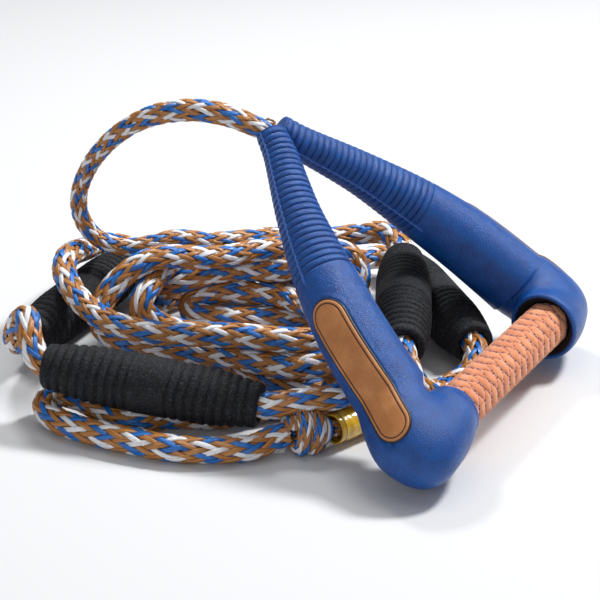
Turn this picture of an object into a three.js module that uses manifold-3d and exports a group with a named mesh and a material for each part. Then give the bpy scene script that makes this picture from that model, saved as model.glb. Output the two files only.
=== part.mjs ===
// Wake-surf tow rope handle: a moulded triangle handle leaning on its own heaped rope.
// Millimetres, +Z up, floor at z = 0. The grip bar runs along Y. The handle leans towards -X,
// so that the apex, where the rope leaves, is the highest point of the handle.
import * as THREE from 'three';
import { mergeVertices } from 'three/addons/utils/BufferGeometryUtils.js';
import Module from 'manifold-3d';

const wasm = await Module();
wasm.setup();

// ---------------------------------------------------------------- driving dimensions
const GAP = 0.35;                    // clearance between touching pieces
const LEAN = 41.4;                   // degrees between the handle's plane and the floor
const APEX = [-97.47, 0, 177.8];     // the rope eye, the point that the handle turns about

const ROPE_R = 9;                    // main braided rope
const BRIDLE_R = 4.8;                // rope that runs inside the arms and the bar
const LOOP_R = 6.2;                  // boat-end loop

const BAR_X = 226.7;                 // bar axis, from the apex along the handle's plane
const BAR_Z = 10.5;                  // bar axis, above the handle's plane
const GRIP_HALF = 73.5;              // half of the open length of the bar
const WRAP_R = 15.5;                 // suede wrap
const FOAM_R = 14.3;                 // foam sleeve under the wrap
const TUBE_R = 12.7;                 // 1 in tube
const TUBE_BORE_R = 10.3;
const TUBE_HALF = 95;
const SOCKET_R = 23.5;               // outside of an arm's socket at its mouth

// The arm's centre line and radius: distance along the plane, half spread, radius.
const ARM = [
  [3, 8.6, 10.3],
  [12, 13.8, 11.2],
  [56, 48, 15.7],
  [100, 74, 21.5],
  [144, 94, 24.6],
  [188, 107, 26],
  [230, 116.5, 27],
];
const BADGE = { from: 113, to: 218, width: 22, thick: 3.4, proud: 0.9, roll: 9 };

const FLOAT = { length: 155, mid: 20.5, end: 15.5, bore: ROPE_R + GAP };

// ---------------------------------------------------------------- small helpers
const v3 = (p) => new THREE.Vector3(...p);
const degrees = THREE.MathUtils.degToRad;
const group = new THREE.Group();

const FINISH = {
  eva: { color: 0x2a4e9b, roughness: 0.55, metalness: 0 },
  leather: { color: 0xb9793f, roughness: 0.6, metalness: 0 },
  suede: { color: 0xc47a52, roughness: 0.9, metalness: 0 },
  foam: { color: 0x1d1e21, roughness: 0.95, metalness: 0 },
  liner: { color: 0x26272a, roughness: 0.5, metalness: 0 },
  alloy: { color: 0xb8bbc0, roughness: 0.35, metalness: 0.9 },
  rope: { color: 0xb98a52, roughness: 0.6, metalness: 0 },
  bridle: { color: 0xe8e4dc, roughness: 0.7, metalness: 0 },
  sleeve: { color: 0xd9a018, roughness: 0.25, metalness: 0 },
};

function add(parent, name, geometry, finish) {
  const mesh = new THREE.Mesh(geometry, new THREE.MeshStandardMaterial(FINISH[finish]));
  mesh.name = name;
  parent.add(mesh);
  return mesh;
}

function toSolid(geometry) {
  const plain = geometry.clone();
  plain.deleteAttribute('normal');
  plain.deleteAttribute('uv');
  const merged = mergeVertices(plain, 1e-4);
  const triVerts = merged.index
    ? Uint32Array.from(merged.index.array)
    : Uint32Array.from({ length: merged.attributes.position.count }, (_, i) => i);
  const vertProperties = Float32Array.from(merged.attributes.position.array);
  return new wasm.Manifold(new wasm.Mesh({ numProp: 3, vertProperties, triVerts }));
}

function toGeometry(solid) {
  const mesh = solid.getMesh();
  const geometry = new THREE.BufferGeometry();
  geometry.setAttribute('position', new THREE.BufferAttribute(mesh.vertProperties, 3));
  geometry.setIndex(new THREE.BufferAttribute(mesh.triVerts, 1));
  return geometry;
}

const cut = (solid, ...tools) => tools.reduce((left, tool) => left.subtract(tool), solid);

// A closed body through round sections; each station is { at, radius }.
function loft(stations, sides) {
  const curve = new THREE.CatmullRomCurve3(stations.map((s) => s.at), false, 'centripetal');
  const last = stations.length - 1;
  const frames = curve.computeFrenetFrames(last, false);
  const positions = [];
  const index = [];
  stations.forEach(({ at, radius }, i) => {
    for (let k = 0; k < sides; k += 1) {
      const turn = (2 * Math.PI * k) / sides;
      const p = at.clone()
        .addScaledVector(frames.normals[i], radius * Math.cos(turn))
        .addScaledVector(frames.binormals[i], radius * Math.sin(turn));
      positions.push(p.x, p.y, p.z);
      if (i < last) {
        const a = i * sides + k;
        const b = i * sides + ((k + 1) % sides);
        index.push(a, b, b + sides, a, b + sides, a + sides);
      }
    }
  });
  for (const [ring, flip] of [[0, true], [last, false]]) {
    const centre = positions.length / 3;
    positions.push(...stations[ring].at.toArray());
    for (let k = 0; k < sides; k += 1) {
      const a = ring * sides + k;
      const b = ring * sides + ((k + 1) % sides);
      index.push(...(flip ? [centre, b, a] : [centre, a, b]));
    }
  }
  const geometry = new THREE.BufferGeometry();
  geometry.setAttribute('position', new THREE.Float32BufferAttribute(positions, 3));
  geometry.setIndex(index);
  return geometry;
}

// A round tube swept along smooth points.
function sweep(points, radius, steps, sides) {
  const path = new THREE.CatmullRomCurve3(points.map(v3), false, 'centripetal');
  const section = new THREE.Shape();
  section.absarc(0, 0, radius, 0, 2 * Math.PI);
  const options = { steps, extrudePath: path, curveSegments: sides, bevelEnabled: false };
  return new THREE.ExtrudeGeometry(section, options);
}

// A body turned about Y from a closed outline of [radius, y] pairs.
function turned(outline, sides) {
  const points = outline.map(([r, y]) => new THREE.Vector2(r, y));
  return new THREE.LatheGeometry(points, sides);
}

// A ring turned about Y: outer radius, inner radius, and its two ends.
function ring(outer, inner, from, to, sides) {
  return turned([[inner, from], [outer, from], [outer, to], [inner, to], [inner, from]], sides);
}

function rod(radius, from, to, sides) {
  return turned([[0, from], [radius, from], [radius, to], [0, to]], sides);
}

function box(size, centre) {
  return new THREE.BoxGeometry(...size).translate(...centre);
}

// A group whose Y axis runs from one point to another, with its origin half way.
function along(parent, from, to) {
  const holder = new THREE.Group();
  const axis = v3(to).sub(v3(from));
  holder.position.copy(v3(from).addScaledVector(axis, 0.5));
  holder.quaternion.setFromUnitVectors(new THREE.Vector3(0, 1, 0), axis.normalize());
  parent.add(holder);
  return holder;
}

// ---------------------------------------------------------------- the handle
// The handle's own frame: X from the apex to the bar, Y along the bar, Z out of its plane.
const handle = new THREE.Group();
handle.position.set(...APEX);
handle.rotation.y = degrees(LEAN);
group.add(handle);
handle.updateMatrixWorld(true);
const toHandle = handle.matrixWorld.clone().invert();

const armAt = (side, x, y, z = 0) => new THREE.Vector3(x, side * y, z);

function armSolid(side) {
  const stations = ARM.map(([x, y, radius]) => ({ at: armAt(side, x, y), radius }));
  const [endX, endY, endR] = ARM.at(-1);
  for (const turn of [25, 48, 68]) {
    const a = degrees(turn);
    stations.push({ at: armAt(side, endX + endR * Math.sin(a), endY), radius: endR * Math.cos(a) });
  }
  const socket = [
    { at: armAt(side, BAR_X, GRIP_HALF, BAR_Z), radius: SOCKET_R },
    { at: armAt(side, BAR_X, GRIP_HALF + 16, BAR_Z * 0.8), radius: SOCKET_R + 1.5 },
    { at: armAt(side, BAR_X + 2, ARM.at(-1)[1] + 6, BAR_Z * 0.3), radius: SOCKET_R + 2 },
  ];
  return toSolid(loft(stations, 20)).add(toSolid(loft(socket, 20)));
}

// The bridle leaves the eye, runs down one arm, turns into the bar and comes back up the other.
function bridlePoints() {
  const down = [
    [7, 5.9, 0],
    [20, 18, 0],
    [56, 46, 0],
    [100, 71, 0],
    [144, 90, 0],
    [186, 102, 1],
    [207, 109.5, 4],
    [220, 109, 8.5],
    [BAR_X, 100, BAR_Z],
    [BAR_X, 92, BAR_Z],
    [BAR_X, 80, BAR_Z],
    [BAR_X, 40, BAR_Z],
  ];
  const back = down.map(([x, y, z]) => [x, -y, z]).reverse();
  return [...down, [BAR_X, 0, BAR_Z], ...back];
}

// A stadium-shaped plate bent along the arm's outer face, grown by a margin all round; a pocket
// for it also runs clear out of the arm.
function badge(side, grow = 0, clearOut = 0) {
  const half = BADGE.width / 2 + grow;
  const length = BADGE.to - BADGE.from;
  const outline = new THREE.Shape();
  const straight = length / 2 - BADGE.width / 2;
  outline.moveTo(-straight, -half);
  for (const f of [-0.6, -0.2, 0.2, 0.6, 1]) outline.lineTo(f * straight, -half);
  outline.absarc(straight, 0, half, -Math.PI / 2, Math.PI / 2);
  for (const f of [0.6, 0.2, -0.2, -0.6, -1]) outline.lineTo(f * straight, half);
  outline.absarc(-straight, 0, half, Math.PI / 2, (3 * Math.PI) / 2);
  const depth = BADGE.thick + 2 * grow + clearOut;
  const flat = new THREE.ExtrudeGeometry(outline, { depth, bevelEnabled: false, curveSegments: 8 });
  const face = new THREE.CatmullRomCurve3(ARM.slice(2).map(([x, y, r]) => armAt(1, x, y + r)));
  const middle = (BADGE.from + BADGE.to) / 2;
  const at = flat.attributes.position;
  for (let i = 0; i < at.count; i += 1) {
    const x = middle + at.getX(i);
    const spot = pointAtX(face, x);
    const out = BADGE.proud - BADGE.thick - grow + at.getZ(i);
    const roll = degrees(BADGE.roll);
    const across = at.getY(i);
    const y = spot.y + out * Math.cos(roll) - across * Math.sin(roll);
    const z = 4 + out * Math.sin(roll) + across * Math.cos(roll);
    at.setXYZ(i, x, side * y, z);
  }
  if (side > 0) turnInsideOut(flat);
  return flat;
}

function pointAtX(curve, x) {
  let low = 0;
  let high = 1;
  for (let i = 0; i < 24; i += 1) {
    const middle = (low + high) / 2;
    if (curve.getPoint(middle).x < x) low = middle;
    else high = middle;
  }
  return curve.getPoint(low);
}

function turnInsideOut(geometry) {
  const at = geometry.attributes.position;
  for (let i = 0; i < at.count; i += 3) {
    const b = new THREE.Vector3().fromBufferAttribute(at, i + 1);
    const c = new THREE.Vector3().fromBufferAttribute(at, i + 2);
    at.setXYZ(i + 1, c.x, c.y, c.z);
    at.setXYZ(i + 2, b.x, b.y, b.z);
  }
}

const EYE_R = 5.4;
const SOCKET_STEPS = [            // radius and depth of each step of a socket, from its mouth
  [WRAP_R + 1.1, GRIP_HALF + 6],
  [TUBE_R + 2.4, TUBE_HALF + 2.5],
];

function buildArm(side, name) {
  const onBar = (geometry) => geometry.translate(BAR_X, 0, BAR_Z);
  const mouth = SOCKET_STEPS.map(([radius, depth]) => {
    const ends = [side * (GRIP_HALF - 8), side * depth].sort((a, b) => a - b);
    return toSolid(onBar(rod(radius, ...ends, 24)));
  });
  const channel = toSolid(sweep(bridlePoints(), BRIDLE_R + 0.6, 60, 8));
  const middle = toSolid(box([80, 60, 80], [20, side * -(30 - 0.2), 0]));
  const throat = toSolid(new THREE.SphereGeometry(EYE_R + 1, 16, 10));
  const floor = box([600, 600, 60], [0, 0, -30]).applyMatrix4(toHandle);
  const pocket = toSolid(badge(side, 0.4, 8));
  const solid = cut(armSolid(side), ...mouth, channel, middle, throat, toSolid(floor), pocket);
  add(handle, name, toGeometry(solid), 'eva');
}

for (const [side, which] of [[-1, 'left'], [1, 'right']]) {
  buildArm(side, `${which}_arm`);
  add(handle, `${which}_badge`, badge(side), 'leather');

  const onBar = new THREE.Group();
  onBar.position.set(BAR_X, 0, BAR_Z);
  handle.add(onBar);
  const span = (a, b) => [side * a, side * b].sort((p, q) => p - q);
  const liner = ring(TUBE_R + 2.05, TUBE_R + GAP, ...span(80, 95), 24);
  add(onBar, `${which}_socket_liner`, liner, 'liner');
  const plug = [
    [6.4, 84], [TUBE_BORE_R - GAP, 84], [TUBE_BORE_R - GAP, TUBE_HALF + GAP],
    [TUBE_R - 0.6, TUBE_HALF + GAP], [TUBE_R - 0.6, TUBE_HALF + 1.9], [6.4, TUBE_HALF + 1.9],
    [6.4, 84],
  ].map(([r, y]) => [r, side * y]);
  add(onBar, `${which}_tube_plug`, turned(side > 0 ? plug : plug.reverse(), 20), 'liner');
}

add(handle, 'bridle_rope', sweep(bridlePoints(), BRIDLE_R, 60, 8), 'bridle');
add(handle, 'bridle_eye', new THREE.SphereGeometry(EYE_R, 14, 10), 'bridle');

const bar = new THREE.Group();
bar.position.set(BAR_X, 0, BAR_Z);
handle.add(bar);
add(bar, 'handle_tube', ring(TUBE_R, TUBE_BORE_R, -TUBE_HALF, TUBE_HALF, 24), 'alloy');
add(bar, 'grip_foam', ring(FOAM_R, TUBE_R + GAP, -78.5, 78.5, 24), 'foam');
add(bar, 'grip_wrap', ring(WRAP_R, FOAM_R + GAP, -78, 78, 24), 'suede');

// ---------------------------------------------------------------- floats on the rope
// Each float is a foam barrel threaded on a straight stretch of the rope.
const FLOATS = [
  { name: 'float_1', from: [-195, -163, 44], to: [-43, -125, 31] },
  { name: 'float_2', from: [-267, 63, 22.5], to: [-256, -91, 24] },
  { name: 'float_3', from: [-48.5, 108, 50.5], to: [15.5, -26, 48.5] },
  { name: 'float_4', from: [-75, 166, 20.7], to: [34, 56, 20.7] },
];

function floatBody() {
  const { length, mid, end, bore } = FLOAT;
  const outline = [[bore, -length / 2]];
  for (const f of [-1, -0.72, -0.42, -0.14, 0.14, 0.42, 0.72, 1]) {
    const full = Math.min(1, (1 - Math.abs(f)) / 0.62);
    const swell = Math.sin((full * Math.PI) / 2);
    outline.push([end + (mid - end) * swell, (f * length) / 2]);
  }
  outline.push([bore, length / 2], [bore, -length / 2]);
  return turned(outline, 20);
}

const CORE_REACH = FLOAT.length / 2 + 2;
for (const { name, from, to } of FLOATS) {
  const place = along(group, from, to);
  add(place, name, floatBody(), 'foam');
  add(place, name.replace('float', 'float_core'), rod(ROPE_R, -CORE_REACH, CORE_REACH, 12), 'rope');
}

// A point on a float's own line, some way past the end of its rope core.
function pastFloat(number, end, past) {
  const { from, to } = FLOATS[number - 1];
  const middle = v3(from).add(v3(to)).multiplyScalar(0.5);
  const axis = v3(to).sub(v3(from)).normalize();
  const reach = CORE_REACH + past;
  return middle.addScaledVector(axis, end === 'to' ? reach : -reach).toArray();
}

// ---------------------------------------------------------------- knot and boat end
const KNOT = { from: [-26, -126.5, 13.7], to: [-2, -105, 13.7], end: 7.5, mid: 13.4 };
const SLEEVE = { from: [3, -96, 12.4], to: [18.2, -48, 9.7], outer: 8.6, inner: 7.2 };

const knotPlace = along(group, KNOT.from, KNOT.to);
const knotHalf = v3(KNOT.from).distanceTo(v3(KNOT.to)) / 2;
const knotOutline = [[0, -knotHalf], [KNOT.end, -knotHalf]];
for (const f of [-0.75, -0.4, 0, 0.4, 0.75]) {
  knotOutline.push([KNOT.end + (KNOT.mid - KNOT.end) * Math.sqrt(1 - f * f), f * knotHalf]);
}
knotOutline.push([KNOT.end, knotHalf], [0, knotHalf]);
add(knotPlace, 'stopper_knot', turned(knotOutline, 20), 'rope');

const sleevePlace = along(group, SLEEVE.from, SLEEVE.to);
const sleeveHalf = v3(SLEEVE.from).distanceTo(v3(SLEEVE.to)) / 2;
const sleeveBody = ring(SLEEVE.outer, SLEEVE.inner, -sleeveHalf, sleeveHalf, 20);
add(sleevePlace, 'label_sleeve', sleeveBody, 'sleeve');

// ---------------------------------------------------------------- free stretches of rope
const between = (a, b, f) => v3(a).lerp(v3(b), f).toArray();
const ROUTES = {
  // From the apex, up and over in a free arc, down on to the heap and across it to float 3.
  rope_lead: {
    steps: 20,
    points: [
      [-102.5, -2.5, 180.2], [-112.3, -7.5, 185], [-128.6, -12, 191], [-150, -15.5, 193],
      [-175, -20, 190], [-202.4, -22, 178], [-230, -20, 156], [-252.9, -13, 128],
      [-265.6, -6.6, 100], [-265, -1.4, 78], [-255.7, 5, 65], [-236, 12, 61], [-212, 25, 61],
      [-189.6, 45, 61], [-168.9, 67, 61], [-143, 92, 60], [-124, 110, 54], [-108, 124, 54],
      [-94, 134, 57], [-80, 138, 60], [-68, 134, 56], pastFloat(3, 'from', 8),
      pastFloat(3, 'from', GAP),
    ],
  },
  rope_link: {
    steps: 7,
    points: [
      pastFloat(3, 'to', GAP), pastFloat(3, 'to', 9), [30, -46, 38], [38, -37, 25],
      [38, -16, 13], [37, 4, 9.6], [40, 20, 10], [44, 34, 14.5], pastFloat(4, 'to', 7),
      pastFloat(4, 'to', GAP),
    ],
  },
  rope_outer: {
    steps: 6,
    points: [
      pastFloat(4, 'from', GAP), pastFloat(4, 'from', 8), [-100, 184, 17], [-113, 168, 17],
      [-118, 142, 24], [-124, 112, 31],
    ],
  },
  rope_bulge: {
    steps: 9,
    points: [
      pastFloat(2, 'to', GAP), pastFloat(2, 'to', 9), [-251, -124, 36], [-246, -134, 49],
      [-234, -137, 60], [-220, -140, 65], [-211, -148, 64], [-210, -160, 57],
      pastFloat(1, 'from', 7), pastFloat(1, 'from', GAP),
    ],
  },
  rope_front: {
    steps: 4,
    points: [
      pastFloat(1, 'to', GAP), pastFloat(1, 'to', 7), [-33, -104, 30], [-39, -86, 29],
      [-50, -70, 28.6],
    ],
  },
  // Out of the heap at the front right, round the fold at the left, and along the front.
  rope_tail: {
    steps: 18,
    points: [
      [-14, -67.5, 9.6], [-43, -73.7, 9.6], [-76.3, -85.8, 9.6], [-105.8, -105, 9.6],
      [-132.7, -128.1, 9.6], [-157, -146.5, 10.3], [-178, -150.5, 10.9], [-194, -153.5, 10.5],
      [-205, -163, 10.5], [-197, -175, 9.6], [-176, -178, 9.6], [-146.2, -177, 9.6],
      [-115, -176, 9.6], [-84, -172.5, 9.6], [-61, -163, 9.6], [-49, -147, 9.6],
      [-35, -134.4, 12.6], [-27, -127.4, 13.7],
    ],
  },
  // Out of the knot, through the sleeve, and back to the knot: the loop that the boat holds.
  boat_loop: {
    steps: 14,
    radius: LOOP_R,
    points: [
      [0.5, -102.5, 13.5], SLEEVE.from, between(SLEEVE.from, SLEEVE.to, 0.33),
      between(SLEEVE.from, SLEEVE.to, 0.67), SLEEVE.to, [22, -35, 8.4], [22, -24, 7.4],
      [15.5, -15.5, 7], [6, -16, 7], [-2, -25, 8], [-7, -38, 13], [-11, -54, 21.5],
      [-12, -66, 26], [-11, -79, 25.4], [-10, -88, 23.5],
    ],
  },
};

const freeRope = Object.entries(ROUTES).map(([name, { points, steps, radius = ROPE_R }]) => {
  add(group, name, sweep(points, radius, steps, 10), 'rope');
  return toSolid(sweep(points, radius + GAP, steps, 10));
});

// ---------------------------------------------------------------- the heap
// The outer shape of the rope's loose oval turns, open in the middle, with room for what
// lies on it or against it.
const HEAP = { centre: [-136, 4], turn: 25.2, long: 114, wide: 96, hole: 0.36, top: 50 };

function heapSolid() {
  const { hole, top } = HEAP;
  const outline = [
    [hole, 0], [0.95, 0], [1, 12], [1, 34], [0.88, top], [hole + 0.14, top], [hole, 36], [hole, 0],
  ];
  const body = new THREE.LatheGeometry(outline.map(([r, z]) => new THREE.Vector2(r, z)), 28);
  body.rotateX(Math.PI / 2);
  body.scale(HEAP.long, HEAP.wide, 1);
  body.rotateZ(degrees(HEAP.turn));
  body.translate(...HEAP.centre, 0);
  return toSolid(body);
}

const floatRoom = FLOATS.map(({ from, to }) => {
  const place = along(new THREE.Group(), from, to);
  place.updateMatrix();
  const reach = CORE_REACH + GAP;
  return toSolid(rod(FLOAT.mid + 0.6, -reach, reach, 16).applyMatrix4(place.matrix));
});
add(group, 'rope_coil', toGeometry(cut(heapSolid(), ...floatRoom, ...freeRope)), 'rope');

export default group;
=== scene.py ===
"""Looks of the tow rope handle: braided rope, moulded arms, quilted grip, ribbed floats."""

import math

import bpy
import numpy as np
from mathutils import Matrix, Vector


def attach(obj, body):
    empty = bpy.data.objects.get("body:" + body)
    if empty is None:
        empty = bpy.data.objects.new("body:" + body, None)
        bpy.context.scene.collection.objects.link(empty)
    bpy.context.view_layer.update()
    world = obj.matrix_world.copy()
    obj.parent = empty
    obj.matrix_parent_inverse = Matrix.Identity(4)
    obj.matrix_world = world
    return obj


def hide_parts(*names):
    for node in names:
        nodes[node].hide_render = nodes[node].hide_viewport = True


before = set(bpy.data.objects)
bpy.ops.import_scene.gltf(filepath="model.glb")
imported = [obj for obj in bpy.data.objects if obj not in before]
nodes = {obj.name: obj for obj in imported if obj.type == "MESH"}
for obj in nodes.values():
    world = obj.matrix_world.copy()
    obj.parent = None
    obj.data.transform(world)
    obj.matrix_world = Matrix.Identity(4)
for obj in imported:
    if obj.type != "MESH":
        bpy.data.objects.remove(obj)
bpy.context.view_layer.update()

# ---------- camera, light and floor
VIEW_AZIMUTH = math.radians(27.97)
VIEW_ELEVATION = math.radians(23.55)
VIEW_DISTANCE = 1.627
VIEW_CENTRE = Vector((-0.0603, -0.0379, 0.0728))
VIEW_LENS = 137.8
LIGHTS_AIM = Vector((-0.08, 0, 0.06))
SOFTBOXES = (       # name, place, size and power
    ("key_back_right", (0.58, 0.80, 1.45), (0.30, 0.30), 31),
    ("back_left", (-0.85, 0.62, 1.40), (0.28, 0.28), 10),
    ("overhead", (-0.1, -0.1, 1.9), (1.4, 1.4), 5),
    ("fill_front", (0.3, -1.9, 0.9), (1.8, 1.0), 8),
)
WORLD_COLOUR = (0.95, 0.97, 1.0, 1)
WORLD_STRENGTH = 0.21
FLOOR_COLOUR = (0.74, 0.75, 0.765)
FLOOR_HALF = 4.0
FLOOR_DROP = 0.0004     # the floor lies this far under what stands on it


def look_from(azimuth, elevation):
    """The unit vector from what is looked at towards the eye."""
    flat = math.cos(elevation)
    return Vector((math.sin(azimuth) * flat, -math.cos(azimuth) * flat, math.sin(elevation)))


def make_camera():
    camera = bpy.data.cameras.new("camera")
    camera.lens = VIEW_LENS
    camera.clip_start = 0.05
    holder = bpy.data.objects.new("camera", camera)
    bpy.context.scene.collection.objects.link(holder)
    out = look_from(VIEW_AZIMUTH, VIEW_ELEVATION)
    holder.location = VIEW_CENTRE + out * VIEW_DISTANCE
    holder.rotation_euler = out.to_track_quat("Z", "Y").to_euler()
    bpy.context.scene.camera = holder


def make_softbox(name, place, size, power):
    light = bpy.data.lights.new(name, "AREA")
    light.shape = "RECTANGLE"
    light.size, light.size_y = size
    light.energy = power
    holder = bpy.data.objects.new(name, light)
    bpy.context.scene.collection.objects.link(holder)
    holder.location = place
    holder.rotation_euler = (Vector(place) - LIGHTS_AIM).to_track_quat("Z", "Y").to_euler()


def make_lights():
    for softbox in SOFTBOXES:
        make_softbox(*softbox)
    world = bpy.data.worlds.new("studio")
    bpy.context.scene.world = world
    world.use_nodes = True
    background = world.node_tree.nodes["Background"]
    background.inputs["Color"].default_value = WORLD_COLOUR
    background.inputs["Strength"].default_value = WORLD_STRENGTH
    bpy.context.scene.view_settings.view_transform = "Standard"


# ---------- curves
def smooth(t):
    t = np.clip(t, 0, 1)
    return t * t * (3 - 2 * t)


def dense_spline(points, per_span):
    """A centripetal Catmull-Rom curve through the points."""
    p = np.asarray(points, float)
    p = np.vstack([2 * p[0] - p[1], p, 2 * p[-1] - p[-2]])
    pieces = []
    for a, b, c, d in zip(p[:-3], p[1:-2], p[2:-1], p[3:]):
        ta = np.linalg.norm(b - a) ** 0.5
        tb = ta + np.linalg.norm(c - b) ** 0.5
        tc = tb + np.linalg.norm(d - c) ** 0.5
        t = np.linspace(ta, tb, per_span, endpoint=False)[:, None]
        ab = a + (b - a) * t / ta
        bc = b + (c - b) * (t - ta) / (tb - ta)
        cd = c + (d - c) * (t - tb) / (tc - tb)
        abc = ab + (bc - ab) * t / tb
        bcd = bc + (cd - bc) * (t - ta) / (tc - ta)
        pieces.append(abc + (bcd - abc) * (t - ta) / (tb - ta))
    return np.vstack([*pieces, p[-2:-1]])


def arc_lengths(path):
    return np.r_[0, np.cumsum(np.linalg.norm(np.diff(path, axis=0), axis=1))]


def resample(path, step):
    """The same line with even steps."""
    s = arc_lengths(path)
    even = np.linspace(0, s[-1], max(int(round(s[-1] / step)), 2) + 1)
    return np.stack([np.interp(even, s, path[:, k]) for k in range(3)], 1)


def relax_line(path, rounds):
    path = path.copy()
    for _ in range(rounds):
        path[1:-1] = 0.25 * path[:-2] + 0.5 * path[1:-1] + 0.25 * path[2:]
    return path


def unit(v):
    return v / np.maximum(np.linalg.norm(v, axis=-1, keepdims=True), 1e-12)


def line_frames(path):
    """Two normals at each point, which turn as little as they can along the line."""
    tangent = unit(np.gradient(path, axis=0))
    first = np.cross(tangent[0], (0, 0, 1) if abs(tangent[0][2]) < 0.9 else (1, 0, 0))
    normal = [unit(first)]
    for t in tangent[1:]:
        normal.append(unit(normal[-1] - t * np.dot(normal[-1], t)))
    return np.array(normal), np.cross(tangent, normal)


# ---------- meshes
def make_mesh(name, points, faces, materials, face_material=None, uv=None):
    """A smooth-shaded object. faces are rows of corner numbers; uv is one pair for each corner."""
    mesh = bpy.data.meshes.new(name)
    points = np.asarray(points, np.float32).reshape(-1, 3)
    count, corners = faces.shape
    mesh.vertices.add(len(points))
    mesh.vertices.foreach_set("co", points.ravel())
    mesh.loops.add(faces.size)
    mesh.loops.foreach_set("vertex_index", faces.ravel().astype(np.int32))
    mesh.polygons.add(count)
    mesh.polygons.foreach_set("loop_start", np.arange(0, faces.size, corners, dtype=np.int32))
    mesh.polygons.foreach_set("use_smooth", np.ones(count, bool))
    for material in materials:
        mesh.materials.append(material)
    if face_material is not None:
        mesh.polygons.foreach_set("material_index", np.asarray(face_material, np.int32))
    mesh.update(calc_edges=True)
    if uv is not None:
        layer = mesh.uv_layers.new(name="lay")
        layer.data.foreach_set("uv", np.asarray(uv, np.float32).ravel())
    mesh.validate()
    piece = bpy.data.objects.new(name, mesh)
    bpy.context.scene.collection.objects.link(piece)
    return piece


def grid_faces(rings, sides, closed=False):
    """Quads between rings of points; closed joins the last ring to the first."""
    ring = np.arange(rings if closed else rings - 1)[:, None] * sides
    after = (ring + sides) % (rings * sides)
    side = np.arange(sides)
    turn = (side + 1) % sides
    return np.stack([ring + side, ring + turn, after + turn, after + side], -1).reshape(-1, 4)


def joined(parts):
    """The points and the faces of many (points, faces) parts, as one mesh's."""
    points, faces, start = [], [], 0
    for p, f in parts:
        points.append(p.reshape(-1, 3))
        faces.append(f + start)
        start += len(points[-1])
    return np.vstack(points), np.vstack(faces)


def circle(sides):
    """Cosines and sines of even steps round a circle."""
    turn = np.linspace(0, 2 * np.pi, sides, endpoint=False)
    return np.cos(turn), np.sin(turn)


def tube(line, wide, out, across, high):
    """Rings of points round a line: across and high are offsets along its normals wide and out."""
    return line[:, None] + wide[:, None] * across[..., None] + out[:, None] * high[..., None]


def axes(a, b):
    """The unit vector from a to b, and two more across it."""
    axis = unit(np.subtract(b, a, dtype=float))
    side = unit(np.cross(axis, (0, 0, 1)))
    return axis, side, np.cross(side, axis)


def spokes(side, up, turn):
    """Unit vectors round an axis, one for each angle."""
    return side * np.cos(turn)[:, None] + up * np.sin(turn)[:, None]


# ---------- material helpers
def new_material(name, colour, **sockets):
    """A Principled material; socket names are given in lower case with underscores."""
    material = bpy.data.materials.new(name)
    material.use_nodes = True
    shader = material.node_tree.nodes["Principled BSDF"]
    shader.inputs["Base Color"].default_value = (*colour, 1)
    by_name = {s.name.lower().replace(" ", "_"): s for s in shader.inputs}
    for key, value in sockets.items():
        by_name[key].default_value = value
    return material, material.node_tree


def feed(tree, **sources):
    """Joins output sockets to the Principled shader's sockets, named the same way."""
    for key, source in sources.items():
        socket = tree.nodes["Principled BSDF"].inputs[key.replace("_", " ").title()]
        tree.links.new(source, socket)


def add_node(tree, kind, settings=None, **inputs):
    """A shader node; inputs are values or output sockets, named as the node's own sockets."""
    node = tree.nodes.new("ShaderNode" + kind)
    for key, value in (settings or {}).items():
        setattr(node, key, value)
    by_name = {}
    for socket in node.inputs:
        by_name.setdefault(socket.name.lower().replace(" ", "_"), socket)
    for key, value in inputs.items():
        if isinstance(value, bpy.types.NodeSocket):
            tree.links.new(value, by_name[key])
        else:
            by_name[key].default_value = value
    return node


def noise(tree, vector, scale, detail=3.0, roughness=0.5):
    made = add_node(
        tree, "TexNoise", vector=vector, scale=scale, detail=detail, roughness=roughness
    )
    return made.outputs["Fac"]


def ramp(tree, fac, stops):
    """A colour ramp; stops are (position, grey or colour)."""
    made = add_node(tree, "ValToRGB", fac=fac)
    elements = made.color_ramp.elements
    while len(elements) < len(stops):
        elements.new(0.5)
    for element, (position, colour) in zip(elements, stops):
        element.position = position
        rgb = (colour,) * 3 if np.isscalar(colour) else colour
        element.color = (*rgb, 1)
    return made.outputs["Color"]


def mix(tree, fac, a, b, blend="MIX"):
    made = tree.nodes.new("ShaderNodeMix")
    made.data_type = "RGBA"
    made.blend_type = blend
    for k, value in ((0, fac), (6, a), (7, b)):
        if isinstance(value, bpy.types.NodeSocket):
            tree.links.new(value, made.inputs[k])
        else:
            made.inputs[k].default_value = (*value, 1) if k else value
    return made.outputs[2]


def bump(tree, height, strength, distance, under=None):
    made = add_node(tree, "Bump", height=height, strength=strength, distance=distance)
    if under is not None:
        tree.links.new(under, made.inputs["Normal"])
    return made.outputs["Normal"]


def place(tree):
    """Positions in metres in the object's own frame."""
    return add_node(tree, "TexCoord").outputs["Object"]


def cells(tree, vector, scale):
    made = add_node(tree, "TexVoronoi", {"feature": "F1"}, vector=vector, scale=scale)
    return made.outputs["Distance"]


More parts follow.
